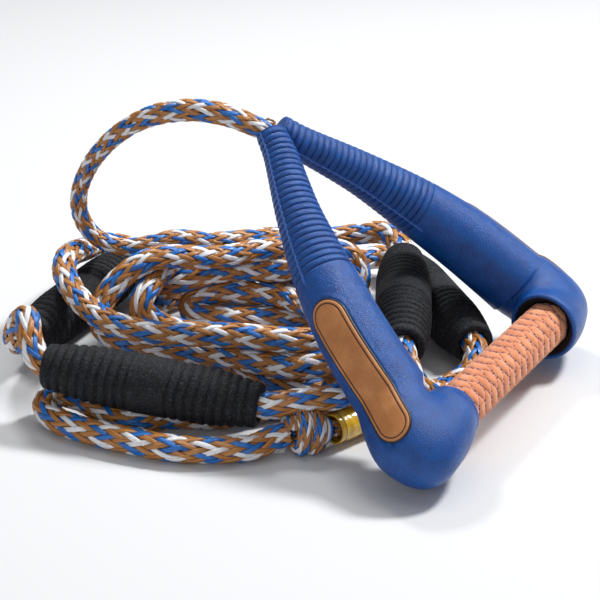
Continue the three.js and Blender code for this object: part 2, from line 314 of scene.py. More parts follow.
# ---------- materials
def yarn_material(name, colour, shade, glint):
    """A flat bundle of glossy filaments that run along the strand, streaked with painted shade and
    painted glints.
    """
    material, tree = new_material(
        name, colour, roughness=0.3, specular_ior_level=0.85
    )
    lay = add_node(tree, "UVMap", {"uv_map": "lay"}).outputs["UV"]
    fine = add_node(tree, "Mapping", vector=lay, scale=(2.6, 0.035, 1)).outputs["Vector"]
    broad = add_node(tree, "Mapping", vector=lay, scale=(0.8, 0.02, 1)).outputs["Vector"]
    filament = noise(tree, fine, 1.0, 4, 0.6)
    bundle = noise(tree, broad, 1.0, 2)
    # the filament noise paints shade and glints into the colour: painted shade and painted highlights
    tone = ramp(tree, filament, [(0.34, shade), (0.47, colour), (0.68, glint)])
    feed(
        tree, base_color=mix(tree, bundle, tone, colour),
        roughness=ramp(tree, filament, [(0.3, 0.40), (0.7, 0.20)]),
        normal=bump(tree, filament, 0.7, 0.0007),
    )
    return material


def mottled(name, colour, speck, stops, relief=None, **sockets):
    """A colour ramp over one noise, and a bump of the same noise where relief is given."""
    material, tree = new_material(name, colour, **sockets)
    fac = noise(tree, place(tree), *speck)
    feed(tree, base_color=ramp(tree, fac, stops))
    if relief:
        feed(tree, normal=bump(tree, fac, *relief))
    return material


def plain_material(name, colour, roughness, metallic=0.0, grain=600, spread=0.25):
    """A finish with a fine mottle and a fine bump, for small or hidden pieces."""
    low = tuple(c * (1 - spread) for c in colour)
    high = tuple(min(c * (1 + spread), 1) for c in colour)
    return mottled(
        name, colour, (grain, 3), [(0.3, low), (0.7, high)], (0.25, 0.0003),
        roughness=roughness, metallic=metallic,
    )


def hide_material(name, colour, grain, patch, stops, overlay, relief, polish=None, **sockets):
    """Suede or leather: broad patches of colour under a fine grain."""
    material, tree = new_material(name, colour, **sockets)
    at = place(tree)
    fine = noise(tree, at, *grain)
    tone = ramp(tree, noise(tree, at, *patch), stops)
    share, shades = overlay
    feed(
        tree, base_color=mix(tree, share, tone, ramp(tree, fine, shades), "OVERLAY"),
        normal=bump(tree, fine, *relief),
    )
    if polish:
        feed(tree, roughness=ramp(tree, fine, polish))
    return material


# each yarn's last two colours are its painted shade and its painted glint
TAN_YARN = yarn_material("yarn_tan", (0.47, 0.175, 0.026), (0.20, 0.056, 0.006), (0.74, 0.37, 0.10))
WHITE_YARN = yarn_material("yarn_white", (0.93, 0.93, 0.95), (0.70, 0.70, 0.78), (0.98, 0.98, 0.99))
BLUE_YARN = yarn_material("yarn_blue", (0.001, 0.140, 0.56), (0.001, 0.030, 0.19), (0.01, 0.40, 0.92))
# a dark tube inside the hollow braid: painted shade seen through the gaps between the strands
GAP_SHADE_TUBE = mottled(
    "rope_core", (0.05, 0.028, 0.012), (900,),
    [(0.3, (0.02, 0.012, 0.007)), (0.7, (0.09, 0.05, 0.02))], roughness=0.8,
)


def eva_material(name="moulded_eva", shade_factor=1.0):
    """Leather-grained foam; the second argument darkens it, as painted shade for the grooves between
    the ribs.
    """
    material, tree = new_material(
        name, (0.002, 0.08, 0.40), roughness=0.36, specular_ior_level=0.45,
    )
    at = place(tree)
    cloud = noise(tree, at, 110, 4, 0.65)
    fleck = noise(tree, at, 980, 4, 0.7)
    pores = cells(tree, at, 900)
    dark, blue, light = (
        tuple(c * shade_factor for c in rgb)
        for rgb in ((0.001, 0.060, 0.290), (0.001, 0.076, 0.345), (0.002, 0.094, 0.405))
    )
    base = ramp(tree, cloud, [(0.34, dark), (0.5, blue), (0.7, light)])
    flecked = ramp(tree, fleck, [(0.36, 0.45), (0.5, 0.9), (0.66, 1.0)])
    grain = bump(tree, fleck, 0.8, 0.0007)
    feed(
        tree, base_color=mix(tree, 0.7, base, flecked, "MULTIPLY"),
        roughness=ramp(tree, fleck, [(0.3, 0.44), (0.7, 0.22)]),
        normal=bump(tree, pores, 0.3, 0.0004, grain),
    )
    return material


def float_material():
    material, tree = new_material(
        "float_foam", (0.012, 0.013, 0.016), roughness=0.70, specular_ior_level=0.24,
    )
    at = place(tree)
    speck = noise(tree, at, 640, 3, 0.6)
    tone = ramp(tree, speck, [
        (0.36, (0.006, 0.006, 0.008)), (0.55, (0.015, 0.016, 0.020)), (0.74, (0.050, 0.054, 0.062)),
    ])
    under = bump(tree, cells(tree, at, 760), 0.55, 0.0008)
    feed(tree, base_color=tone, normal=bump(tree, speck, 0.4, 0.0006, under))
    return material


EVA = eva_material()
# the darkened foam is painted shade for the rib grooves
EVA_GROOVE_SHADE = eva_material("eva_groove", 0.28)
EVA_SEAM = plain_material("eva_seam", (0.045, 0.15, 0.52), 0.45, grain=900)
FLOAT_FOAM = float_material()
SUEDE = hide_material(
    "quilted_suede", (0.62, 0.24, 0.12), (900, 4, 0.7), (95, 3),
    [(0.3, (0.60, 0.20, 0.095)), (0.55, (0.74, 0.285, 0.14)), (0.8, (0.84, 0.37, 0.20))],
    (0.35, [(0.3, 0.3), (0.7, 0.72)]), (0.5, 0.0004), roughness=0.88, specular_ior_level=0.2,
    sheen_weight=0.45, sheen_roughness=0.5, sheen_tint=(1.0, 0.78, 0.66, 1),
)
LEATHER = hide_material(
    "badge_leather", (0.43, 0.175, 0.06), (700, 4, 0.65), (60, 3),
    [(0.3, (0.44, 0.165, 0.05)), (0.55, (0.52, 0.21, 0.07)), (0.8, (0.62, 0.275, 0.105))],
    (0.3, [(0.3, 0.36), (0.7, 0.62)]), (0.35, 0.0004), [(0.3, 0.6), (0.7, 0.42)],
    roughness=0.5, specular_ior_level=0.4,
)
SLEEVE_FILM = mottled(
    "sleeve_film", (0.72, 0.42, 0.015), (120, 3, 0.6),
    [(0.3, (0.58, 0.31, 0.008)), (0.7, (0.80, 0.50, 0.03))], (0.4, 0.002),
    roughness=0.22, specular_ior_level=0.6, coat_weight=0.6, coat_roughness=0.12,
)
GROOVE_THREAD = plain_material("groove_thread", (0.11, 0.035, 0.018), 0.7)
STITCH_DARK = plain_material("stitch_dark", (0.10, 0.045, 0.10), 0.8)
STITCH_PALE = plain_material("stitch_pale", (0.42, 0.34, 0.46), 0.7)
BLACK_NYLON = plain_material("black_nylon", (0.02, 0.02, 0.023), 0.5)
BLACK_INK = plain_material("black_ink", (0.03, 0.022, 0.01), 0.5)

# ---------- rope routes
MM = 0.001
ROPE_D = 0.0188
LEAD_D = 0.0150
LEAD_WIDEST = 0.0165
LOOP_D = 0.0124
FLOAT_LENGTH = 0.155
FLOAT_R = 0.0205
APEX = (-97.47, 0, 177.8)
FLOATS = {          # the line that each float lies on, in millimetres
    "float_1": ((-195, -163, 44), (-43, -125, 31)),
    "float_2": ((-267, 63, 22.5), (-256, -91, 24)),
    "float_3": ((-48.5, 108, 50.5), (15.5, -26, 48.5)),
    "float_4": ((-75, 166, 20.7), (34, 56, 20.7)),
}
KNOT = ((-26, -126.5, 13.7), (-2, -105, 13.7))
SLEEVE = ((-0.5, -103, 13.4), (18.2, -48, 11.4))


def on_float(name, offset):
    """A point on a float's line, offset millimetres from its middle towards its second end."""
    a, b = (np.array(p, float) for p in FLOATS[name])
    return tuple((a + b) / 2 + unit(b - a) * offset)


def through(name, backwards=False):
    """The straight run of rope inside a float."""
    offsets = [-86, -70, -35, 0, 35, 70, 86]
    return [on_float(name, -t if backwards else t) for t in offsets]


LEAD = [
    (-97.5, 0, 178.5), (-102.5, -2.5, 180.2), (-112, -8, 185), (-129, -12, 191),
    (-150, -16, 193), (-175, -20, 190), (-202, -22, 178), (-230, -20, 156),
    (-253, -13, 128), (-266, -7, 100), (-265, -1, 78), (-256, 5, 65),
    (-236, 12, 61), (-212, 25, 61), (-190, 45, 61), (-169, 67, 61), (-143, 92, 60),
    (-124, 110, 54), (-108, 124, 54), (-94, 134, 57), (-80, 138, 60), (-68, 134, 58),
]
LINK = [(30, -46, 38), (38, -37, 25), (38, -16, 13), (37, 4, 9.6), (40, 20, 10), (44, 34, 14.5)]
HEAP = [
    (-100, 184, 17), (-113, 168, 17), (-126, 142, 24), (-141, 115, 30), (-168, 102, 30),
    (-194, 86, 32), (-205, 62, 42), (-203, 36, 52), (-201, 8, 56), (-198, -19, 50),
    (-200, -33, 40), (-201, -30, 26), (-194, -14, 13), (-168, -2, 9), (-135, -4, 9),
    (-96, 5, 9), (-74, 32, 9), (-84, 68, 9), (-120, 84, 9), (-165, 84, 9), (-200, 72, 9),
    (-219, 46, 9), (-222, 12, 9), (-212, -14, 9), (-190, -34, 9), (-166, -40, 9),
    (-132, -44, 9), (-96, -49, 9), (-54, -53, 9), (-26, -48, 9),
    (-16, -24, 9), (-23, 4, 14), (-40, 15, 22), (-64, 23, 27),
    (-98, 45, 28), (-126, 57, 28), (-155, 52, 28), (-178, 41, 28),
    (-192, 31, 26), (-197, 24, 18), (-186, 24, 10), (-163, 33, 9),
    (-135, 46, 9), (-110, 54, 9), (-89, 61, 10), (-76, 72, 20),
    (-79, 82, 32), (-93, 81, 43), (-119, 74, 46), (-144, 60, 46),
    (-168, 43, 44), (-192, 32, 38), (-213, 23, 32), (-228, 23, 28),
    (-236, 34, 27), (-238, 52, 26), (-238, 70, 26), (-231, 86, 26),
    (-199, 98, 22), (-167, 113, 20), (-126, 104, 28),
    (-74, 55, 40), (-41, 3, 46), (-39, -35, 46), (-56, -48, 46),
    (-84, -56, 46), (-108, -63, 46), (-130, -76, 46), (-157, -85, 46),
    (-189, -84, 46), (-224, -68, 48), (-246, -55, 56), (-261, -39, 62),
    (-267, -20, 61), (-271, 0, 56), (-279, 14, 50), (-285, 32, 43), (-288, 52, 36),
    (-288, 72, 29), (-281, 89, 23),
]
BULGE = [
    (-246, -119, 34), (-242, -131, 47), (-234, -138, 60), (-222, -141, 67), (-211, -146, 66),
    (-206, -155, 57),
]
FRONT = [
    (-24, -112, 28), (-9, -101, 30), (3, -88, 34), (7, -71, 37), (-3, -57, 37),
    (-22, -54, 32), (-50, -57, 28), (-92, -57, 27), (-131, -61, 27),
    (-166, -72, 27), (-199, -66, 26), (-223, -52, 28), (-226, -44, 38),
    (-219, -35, 50), (-208, -20, 60), (-195, -6, 66), (-181, 11, 64),
    (-168, 29, 60), (-150, 52, 56), (-128, 70, 50), (-104, 80, 44),
    (-77, 72, 36), (-50, 40, 32), (-29, 5, 26), (-13, -25, 18),
    (-8, -48, 12), (-14, -68, 9.6), (-43, -74, 9.6), (-66, -92, 9.6),
    (-80, -118, 9.6), (-98, -138, 9.6), (-122, -149, 9.6), (-150, -150, 10.5),
    (-174, -146, 14), (-191, -146, 18), (-201, -154, 18), (-198, -166, 13), (-182, -174, 9.6),
    (-146, -177, 9.6), (-115, -176, 9.6), (-84, -172, 9.6), (-61, -163, 9.6),
    (-49, -147, 9.6), (-35, -134, 12.6), (-24, -124, 13.7),
]
LOOP = [
    (-1, -104, 13.5), (2, -96, 13.1), (7.2, -80, 12.5), (12.8, -64, 12), (18.2, -48, 11.4),
    (22, -35, 9.4), (22, -24, 7.6), (15.5, -15.5, 7), (6, -16, 7), (-2, -25, 8),
    (-7, -38, 13), (-11, -54, 21.5), (-12, -66, 26), (-11, -79, 25.4), (-10, -88, 23.5),
]

STEP = 0.0027           # between the braid's rings
SETTLE_STEP = 0.006
SPLINE_STEPS = 24
HANDLE_LEAN = math.radians(41.4)


def join_runs():
    """The whole rope from the apex to the knot, with where each named run starts and ends."""
    runs = [
        ("lead", LEAD), ("float_3", through("float_3")), ("link", LINK),
        ("float_4", through("float_4", True)), ("heap", HEAP), ("float_2", through("float_2")),
        ("bulge", BULGE), ("float_1", through("float_1")), ("front", FRONT),
    ]
    points, marks = [], {}
    for name, run in runs:
        marks[name] = (len(points), len(points) + len(run) - 1)
        points += run
    dense = dense_spline(np.array(points) * MM, SPLINE_STEPS)
    s = arc_lengths(dense)[::SPLINE_STEPS]
    return dense, {name: (s[a], s[b]) for name, (a, b) in marks.items()}


def nearest_on(p, a, b):
    """For each point, the nearest place on the segment from a to b."""
    t = np.clip(((p - a) @ (b - a)) / np.dot(b - a, b - a), 0, 1)
    return a + t[:, None] * (b - a)


def handle_point(x, y, z=0.0):
    """From the handle's own frame, in millimetres, to the row frame, in metres."""
    x, y, z = np.broadcast_arrays(x, y, z)
    cos, sin = math.cos(HANDLE_LEAN), math.sin(HANDLE_LEAN)
    return np.stack([APEX[0] + x * cos + z * sin, y, APEX[2] - x * sin + z * cos], -1) * MM


ARM = [             # x, y and radius of the capsules that keep the rope off an arm
    (3, 8.6, 10.3), (12, 13.8, 11.2), (56, 48, 15.7), (100, 74, 21.5), (144, 94, 24.6),
    (188, 107, 26), (226, 112, 26),
]
CLEAR_OF_FLOAT = 0.012
CLEAR_OF_APEX = 0.05
CLEAR_OF_KNOT = 0.04
KNOT_ROOM = 0.0125
SLEEVE_ROOM = 0.0112
NEIGHBOURS = 0.045      # points nearer than this along the rope may be close together
PRESSED = 0.97          # turns that touch flatten to this share of their width
SHARE_OF_OVERLAP, SHARE_OF_DEPTH = 0.42, 0.8
STIFFNESS, HOMING = 0.45, 0.006
FLOOR_CLEARANCE = 0.0008
SETTLE_ROUNDS, QUICK_ROUNDS = 260, 20


def obstacles(marks, s):
    """Capsules that the rope stays outside of: (end, end, radius, which points it holds for)."""
    found = []
    for name, ends in FLOATS.items():
        a, b = (np.array(p) * MM for p in ends)
        middle, half = (a + b) / 2, unit(b - a) * FLOAT_LENGTH / 2
        first, last = marks[name]
        away = (s < first - CLEAR_OF_FLOAT) | (s > last + CLEAR_OF_FLOAT)
        found.append((middle - half, middle + half, FLOAT_R, away))
    far_from_apex = s > CLEAR_OF_APEX
    for side in (-1, 1):
        for (x0, y0, r0), (x1, y1, r1) in zip(ARM[:-1], ARM[1:]):
            a, b = handle_point(x0, side * y0), handle_point(x1, side * y1)
            found.append((a, b, (r0 + r1) / 2 * MM, far_from_apex))
    before_knot = s < s[-1] - CLEAR_OF_KNOT
    for ends, room in ((KNOT, KNOT_ROOM), (SLEEVE, SLEEVE_ROOM)):
        found.append((*(np.array(ends) * MM), room, before_knot))
    loop = resample(dense_spline(np.array(LOOP) * MM, 8), 0.01)
    for a, b in zip(loop[:-1], loop[1:]):
        found.append((a, b, LOOP_D / 2, before_knot))
    return found


def settle(path, s, marks, rounds):
    """Pushes the rope's turns out of each other, off the floor and off what lies on them."""
    home = path.copy()
    count = len(path)
    fixed = np.zeros(count, bool)
    for name in FLOATS:
        first, last = marks[name]
        fixed |= (s > first + SETTLE_STEP) & (s < last - SETTLE_STEP)
    fixed[:6] = fixed[-3:] = True
    blocks = obstacles(marks, s)
    index = np.arange(count)
    apart = np.abs(index[:, None] - index[None]) > int(NEIGHBOURS / SETTLE_STEP)
    width = np.where(s < marks["float_3"][0], LEAD_D, ROPE_D) * PRESSED
    need = (width[:, None] + width[None]) / 2
    for _ in range(rounds):
        gap = path[:, None] - path[None]
        dist = np.sqrt((gap ** 2).sum(-1)) + 1e-9
        over = np.where(apart & (dist < need), need - dist, 0)
        push = (gap / dist[..., None] * over[..., None]).sum(1) * SHARE_OF_OVERLAP
        for a, b, radius, holds in blocks:
            away = path - nearest_on(path, a, b)
            far = np.linalg.norm(away, axis=1)
            deep = np.where(holds, np.maximum(radius + width / 2 - far, 0), 0)
            push += away / (far[:, None] + 1e-9) * deep[:, None] * SHARE_OF_DEPTH
        bend = np.zeros_like(path)
        bend[1:-1] = (path[:-2] + path[2:]) / 2 - path[1:-1]
        stiff = bend.copy()
        stiff[1:-1] = bend[1:-1] - (bend[:-2] + bend[2:]) / 2
        path = path + push + stiff * STIFFNESS + (home - path) * HOMING
        path[:, 2] = np.maximum(path[:, 2], width / 2 + FLOOR_CLEARANCE)
        path[fixed] = home[fixed]
    return path


def settled_rope():
    """The whole rope at rest, and where each named run starts and ends along it."""
    dense, marks = join_runs()
    line = resample(dense, SETTLE_STEP)
    before = np.linspace(0, arc_lengths(dense)[-1], len(line))
    line = settle(line, before, marks, SETTLE_ROUNDS)
    fine = dense_spline(relax_line(line, 2), 6)
    after = arc_lengths(fine)[::6]
    marks = {n: tuple(float(np.interp(v, before, after)) for v in m) for n, m in marks.items()}
    return resample(fine, STEP), marks


# ---------- braided rope
STRANDS_EACH_WAY = 12
PITCH_IN_DIAMETERS = 7.8
STRAND_SECTION = np.array([       # two yarns side by side: across and height, for one strand
    (1.0, 0.0), (0.62, 0.95), (0.0, 0.5), (-0.62, 0.95),
    (-1.0, 0.0), (-0.6, -0.8), (0.0, -0.95), (0.6, -0.8),
]).T
STRAND_REACH, STRAND_LIFT = 0.745, 0.115        # these are shares of the rope's radius
STRAND_HALF, STRAND_SWELL = 0.172, 0.022
STRAND_THICK = 0.125
GAP_SHADE_SHARE = 0.62
GAP_SHADE_SIDES = 8
LIFT_SHARPNESS = 1.15
STRAND_LOOKS = (0, 1, 0, 2)       # tan, white, tan, blue
GAP_SHADE_LOOK = 3


def ripple(rng, s, low, high):
    """A slow wave along a line, with its pace and its start drawn at random."""
    return np.sin(s * rng.uniform(low, high) + rng.uniform(0, 6.3))


def yarn_lay(k, way, s, sides):
    """Where each face of a strand is round the yarns and, in millimetres, along them."""
    u = np.arange(sides)[:, None] + (0, 1, 1, 0) + 40.0 * k + 7 * way
    v = np.stack([s[:-1], s[:-1], s[1:], s[1:]], 1)[:, None] / MM
    return np.stack(np.broadcast_arrays(u, v), -1).reshape(-1, 2)


def braid(name, path, diameter, turns, seed, frames):
    """Flat strands that pass over two and under two, round a dark tube that is painted shade seen
    through the gaps between them.
    """
    rng = np.random.default_rng(seed)
    side, up = frames
    radius = (diameter / 2)[:, None]
    across, high = STRAND_SECTION
    parts, looks, lays = [], [], []
    s = arc_lengths(path)
    n = 2 * STRANDS_EACH_WAY * turns
    for way in (1, -1):
        for k in range(STRANDS_EACH_WAY):
            wander = 0.10 * ripple(rng, s, 18, 34)
            angle = 2 * np.pi * (k / STRANDS_EACH_WAY + way * turns) + wander
            phase = n + 2 * k - 0.5 if way > 0 else n - 2 * k + 2.5
            wave = np.cos(2 * np.pi * phase / 4)
            lift = np.tanh(LIFT_SHARPNESS * wave) / np.tanh(LIFT_SHARPNESS)
            reach = radius * (STRAND_REACH + STRAND_LIFT * lift)[:, None]
            out = np.cos(angle)[:, None] * side + np.sin(angle)[:, None] * up
            centre = path + out * reach
            along = unit(np.gradient(centre, axis=0))
            out = unit(out - along * (out * along).sum(1, keepdims=True))
            slack = 1 + 0.09 * ripple(rng, s, 60, 110)
            half = radius * (STRAND_HALF + STRAND_SWELL * lift)[:, None] * slack[:, None]
            ring = tube(centre, np.cross(along, out), out, across * half, high * radius * STRAND_THICK)
            quads = grid_faces(len(path), len(across))
            parts.append((ring, quads))
            lays.append(yarn_lay(k, way, s, len(across)))
            looks.append(np.full(len(quads), STRAND_LOOKS[k % len(STRAND_LOOKS)]))
    # the dark inner tube: painted shade in the gaps of the hollow braid
    cos, sin = circle(GAP_SHADE_SIDES)
    core = tube(path, side, up, cos * radius * GAP_SHADE_SHARE, sin * radius * GAP_SHADE_SHARE)[::2]
    quads = grid_faces(len(core), GAP_SHADE_SIDES)
    parts.append((core, quads))
    lays.append(np.zeros((quads.size, 2)))
    looks.append(np.full(len(quads), GAP_SHADE_LOOK))
    return make_mesh(
        name, *joined(parts), [TAN_YARN, WHITE_YARN, BLUE_YARN, GAP_SHADE_TUBE],
        np.concatenate(looks), np.vstack(lays),
    )


def braid_run(name, line, first, last, seed):
    """The braid on a stretch of a line, from one distance along it to another."""
    s = arc_lengths(line)
    pick = (s >= first - STEP / 2) & (s <= last + STEP / 2)
    frames = [f[pick] for f in line_frames(line)]
    diameter = rope_width(s)
    turns = np.r_[0, np.cumsum(np.diff(s) / (PITCH_IN_DIAMETERS * diameter[1:]))]
    return braid(name, line[pick], diameter[pick], turns[pick], seed, frames), line[pick]


# Distance along the rope and width there: a spliced eye, a slim arc, then the slack heap.
ROPE_WIDTHS = (
    (0, 0.0115), (0.012, 0.0152), (0.045, 0.0166), (0.085, 0.0164), (0.12, 0.0146),
    (0.2, 0.0137), (0.31, 0.0139), (0.4, 0.0165), (0.5, ROPE_D),
)


def rope_width(s):
    return np.interp(s, *zip(*ROPE_WIDTHS)) + 0.0005 * np.sin(s * 27)


def make_rope():
    """The rope's runs by name, each with its piece and the line that it follows."""
    line, marks = settled_rope()
    total = arc_lengths(line)[-1]
    in_1, in_2, in_3, in_4 = (sum(marks[name]) / 2 for name in sorted(FLOATS))
    in_heap = (in_4 + in_2) / 2
    in_front = (in_1 + total) / 2
    cuts = (
        ("rope_lead_run", 0.0, in_3, ("rope_lead", "float_core_3")),
        ("rope_link_run", in_3, in_4, ("rope_link", "float_core_4")),
        ("rope_heap_low", in_4, in_heap, ("rope_outer", "rope_coil")),
        ("rope_heap_top", in_heap, in_2, ("float_core_2",)),
        ("rope_bulge_run", in_2, in_1, ("rope_bulge", "float_core_1")),
        ("rope_front_run", in_1, in_front, ("rope_front",)),
        ("rope_tail_run", in_front, total, ("rope_tail",)),
    )
    made = {}
    for k, (name, first, last, stands_for) in enumerate(cuts):
        piece, route = braid_run(name, line, first, last, 11 + k)
        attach(piece, "rope")
        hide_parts(*stands_for)
        made[name] = (piece, route)
    return made


ROPES = make_rope()

# ---------- the handle's arms
ARM_LINE = dense_spline(np.array([
    (-4, 5.6, 11.2), (3, 9.4, 11.6), (12, 14.6, 12.3), (56, 48, 16.2), (100, 74, 21.5),
    (144, 94, 24.6), (188, 107, 26), (230, 116.5, 27),
]), 60)             # x, y and radius
ARM_SLOPE = unit(np.gradient(ARM_LINE[:, :2], axis=0))
RIB_COUNT = 24
RIBS_END_X = 100.0
FAN_START_X = 191.0
CROTCH_R = 4.0
BAR_CENTRE = (226.7, 10.5)
ARM_SIDES = 128
RIBS_START = 0.6
RIB_STEPS = (0, 0.05, 0.12, 0.22, 0.36, 0.5, 0.64, 0.78, 0.88, 0.95)
RIB_DEPTH = 1.35
RIB_SHARPNESS = 3.4
PLAIN_STEP = 1.5
TIP_ROWS = ((1.5, 0.02), (1.5, 0.45), (1.45, 0.72), (1.0, 0.90), (0.35, 0.98))
FAN_TURN = 103.5            # degrees from the mouth round to the arm
FAN_ROWS = 40
LIP_ROWS = ((3.4, 0.1), (1.6, 0), (0.4, -0.6), (0, -1.5), (0.3, -2.4), (1.6, -3.3), (4.2, -4.1))
SOCKET_ROWS = ((7, 18.0), (8.5, 17.4), (12, 17.2))
SEAM_HALF, SEAM_HEIGHT = 0.8, 0.55
PARTING_HALF, PARTING_DEPTH = 0.55, 0.35
POCKET_DEPTH, POCKET_RIM = 2.2, 0.55
ELBOWS = {           # by side: where the mouth is along the bar, its radius, the reach round the turn
    -1: (83.0, 20.5, ((0, 45), (15, 51), (30, 61), (50, 78), (70, 75), (90, 59), (103.5, 51))),
    1: (76.0, 25.5, ((0, 55), (15, 56), (30, 59), (50, 66), (70, 65), (90, 59), (103.5, 55.5))),
}
ELBOW_HALF = ((30, 25), (60, 27), (103.5, 26.1))
ELBOW_RISE = ((0, 10.5), (20, 10), (50, 6), (80, 1.5), (103.5, 0))
BADGE_ROLL = (math.radians(13), math.radians(22))     # at its two ends
BADGE_FROM, BADGE_TO = 122.0, 223.5
BADGE_HALF = 12.2
BADGE_MIDDLE = (BADGE_FROM + BADGE_TO) / 2
BADGE_STRAIGHT = (BADGE_TO - BADGE_FROM) / 2 - BADGE_HALF


def table_at(table, value):
    """A smooth curve through a table of pairs."""
    line = dense_spline(np.array([(a, b, 0.0) for a, b in table]), 30)
    return np.interp(value, line[:, 0], line[:, 1])


def arm_sections(side):
    """Rows of centre x, centre y, outward x, outward y, half across, half thick, rise, rib."""
    x, y, r = ARM_LINE.T
    s = np.r_[0, np.cumsum(np.hypot(np.diff(x), np.diff(y)))]
    ribs_end = np.interp(RIBS_END_X, x, s)
    fan_start = np.interp(FAN_START_X, x, s)
    pitch = (ribs_end - RIBS_START) / RIB_COUNT
    share = np.tile(RIB_STEPS, RIB_COUNT)
    ribbed = RIBS_START + (np.repeat(np.arange(RIB_COUNT), len(RIB_STEPS)) + share) * pitch
    plain = np.arange(ribs_end, fan_start, PLAIN_STEP)
    marks = np.r_[ribbed, plain]
    ribs = np.r_[
        -RIB_DEPTH * np.abs(2 * share - 1) ** RIB_SHARPNESS - 0.01,
        -RIB_DEPTH * np.exp(-((plain - ribs_end) / 0.8) ** 2),
    ]
    cx, cy, cr = (np.interp(marks, s, v) for v in (x, y, r))
    tx, ty = (np.interp(marks, s, v) for v in ARM_SLOPE.T)
    arm = list(zip(cx, cy, -ty, tx, cr, cr, 0 * ribs, ribs))
    a, b, ox, oy, tip_r = arm[0][:5]
    rows = []
    for back, size in TIP_ROWS:
        rows.append((a - oy * back, b + ox * back, ox, oy, tip_r * size, tip_r * size, 0, 0))
    rows += arm
    mouth, socket_r, reaches = ELBOWS[side]
    crotch = (BAR_CENTRE[0] - socket_r - CROTCH_R, mouth + 4.5)
    halves = ((0, socket_r), *ELBOW_HALF)
    for turn in np.linspace(FAN_TURN, 0, FAN_ROWS)[1:]:
        reach = table_at(reaches, turn)
        half = table_at(halves, turn)
        out = (math.cos(math.radians(turn)), math.sin(math.radians(turn)))
        far = (reach + CROTCH_R) / 2
        centre = (crotch[0] + out[0] * far, crotch[1] + out[1] * far)
        rows.append((*centre, *out, (reach - CROTCH_R) / 2, half, table_at(ELBOW_RISE, turn), 0))
    bx, bz = BAR_CENTRE
    inside = [(y, socket_r + r) for y, r in LIP_ROWS] + list(SOCKET_ROWS)
    rows += [(bx, mouth + y, 1, 0, r, r, bz, 0) for y, r in inside]
    return np.array(rows, float)


def beside_arm(rows):
    """How far down the arm's line the outer edge of each section is, and its distance from it."""
    edge = rows[:, :2] + rows[:, 2:4] * rows[:, 4:5]
    gap = np.linalg.norm(edge[:, None] - ARM_LINE[None, :, :2], axis=2)
    return ARM_LINE[gap.argmin(1), 0], gap.min(1)


def badge_roll(x):
    return np.interp(x, (BADGE_FROM, BADGE_TO), BADGE_ROLL)


def in_badge(x, across, margin):
    """How far inside the badge's stadium outline, grown by a margin; negative is outside."""
    past = np.maximum(np.abs(x - BADGE_MIDDLE) - BADGE_STRAIGHT, 0)
    return BADGE_HALF + margin - np.hypot(past, across)


def make_arm(side, name):
    rows = arm_sections(side)
    t = np.linspace(0, 2 * np.pi, ARM_SIDES, endpoint=False)
    phi = t - 0.36 * np.sin(2 * t)
    cx, cy, ox, oy, half, thick, rise, rib = (rows[:, k][:, None] for k in range(8))
    grow = np.broadcast_to(rib, (len(rows), ARM_SIDES)).copy()
    edge = np.abs(np.sin(phi))[None] * half
    number = np.arange(len(rows))[:, None]
    seam_rows = (number > 4) & (cx < RIBS_END_X + 6)
    on_seam = np.exp(-((edge / SEAM_HALF) ** 2)) * seam_rows
    scallop = 0.72 + 0.28 * np.cos(number * 2 * np.pi / 5)
    grow = grow * (1 - on_seam * 0.8) + on_seam * SEAM_HEIGHT * scallop
    wrap = np.mod(phi + np.pi, 2 * np.pi) - np.pi
    parting = np.exp(-(((wrap[None] + 0.02) * half / PARTING_HALF) ** 2)) * (~seam_rows)
    grow -= parting * PARTING_DEPTH * (number < len(rows) - 11)
    along = beside_arm(rows)[0][:, None]
    across = (wrap[None] - badge_roll(along)) * half
    inside = in_badge(along + 0 * across, across, 1.0)
    plain = (cx > BADGE_FROM - 6) & (np.abs(across) < 20)
    grow -= POCKET_DEPTH * smooth(inside / 0.7) * plain
    grow += POCKET_RIM * np.exp(-((inside + 1.4) / 1.3) ** 2) * plain
    a = half + grow
    b = thick + grow
    x = cx + ox * a * np.cos(phi)
    y = np.maximum(cy + oy * a * np.cos(phi), 0.3)
    z = rise + b * np.sin(phi)
    points = handle_point(x, side * y, z)
    points[..., 2] = np.maximum(points[..., 2], 0.0)
    faces = grid_faces(len(rows), ARM_SIDES)
    if side > 0:
        faces = faces[:, ::-1]
    row = faces.min(1) // ARM_SIDES
    column = np.tile(np.arange(ARM_SIDES), len(rows) - 1)
    seam_face = (edge[row, column] < 0.75) & seam_rows[row, 0]
    # faces in the rib grooves take the darkened foam: painted shade
    groove_in_shade = (rib[row, 0] + rib[row + 1, 0]) / 2 < -0.9
    look = np.where(seam_face, 1, np.where(groove_in_shade, 3, 0))
    look = np.where(row > len(rows) - 6, 2, look)
    return make_mesh(name, points, faces, [EVA, EVA_SEAM, BLACK_NYLON, EVA_GROOVE_SHADE], look)


def badge_point(side, x, across, height):
    """A place on the arm's outer face: x along, across it and height above it, in millimetres."""
    lx, ly, lr = ARM_LINE.T
    cy, cr, tx, ty = (np.interp(x, lx, v) for v in (ly, lr, *ARM_SLOPE.T))
    rows = arm_sections(side)
    rows = rows[(rows[:, 0] > 60) & (rows[:, 1] > 0) & (rows[:, 3] > 0.64)]
    place_x, place_out = beside_arm(rows)
    out_there = np.interp(x, np.maximum.accumulate(place_x), place_out)
    sag = across ** 2 / (2 * cr) * 0.75
    reach = out_there + height - sag
    lean, lift = np.cos(badge_roll(x)), np.sin(badge_roll(x))
    out = reach * lean - across * lift
    up = reach * lift + across * lean
    return x - ty * out, cy + tx * out, up


